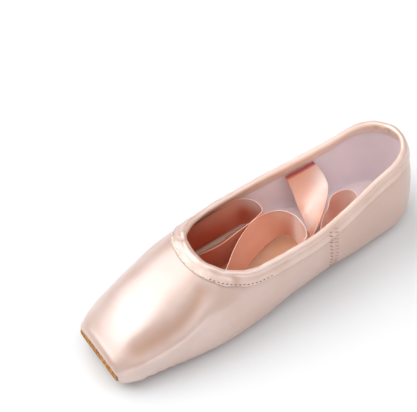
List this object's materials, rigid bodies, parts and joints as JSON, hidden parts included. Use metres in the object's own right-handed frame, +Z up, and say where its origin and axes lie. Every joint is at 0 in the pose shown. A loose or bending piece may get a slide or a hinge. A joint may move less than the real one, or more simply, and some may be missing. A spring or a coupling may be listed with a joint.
{
  "type": "pointe shoe",
  "caption": "Pointe shoe: hollow satin upper with a stiff toe box, bound top line, leather sole and two ribbons tucked inside.",
  "frame": {"origin": "on the floor, under the middle of the shoe's bounding box", "axes": "+Z up, -Y towards the toe, +Y towards the heel, +X towards the side that the picture shows"},
  "size_m": [0.078, 0.2312, 0.0587],
  "materials": {
    "satin": "satin",
    "ribbon_satin": "satin",
    "sole_leather": "matte",
    "insole_cloth": "matte",
    "suede": "matte"
  },
  "bodies": {
    "root": {"upper": "satin", "casing": "satin", "outsole": "sole_leather", "insole": "insole_cloth", "toe_tip": "suede", "ribbon_far": "ribbon_satin", "ribbon_near": "ribbon_satin"}
  },
  "joints": []
}
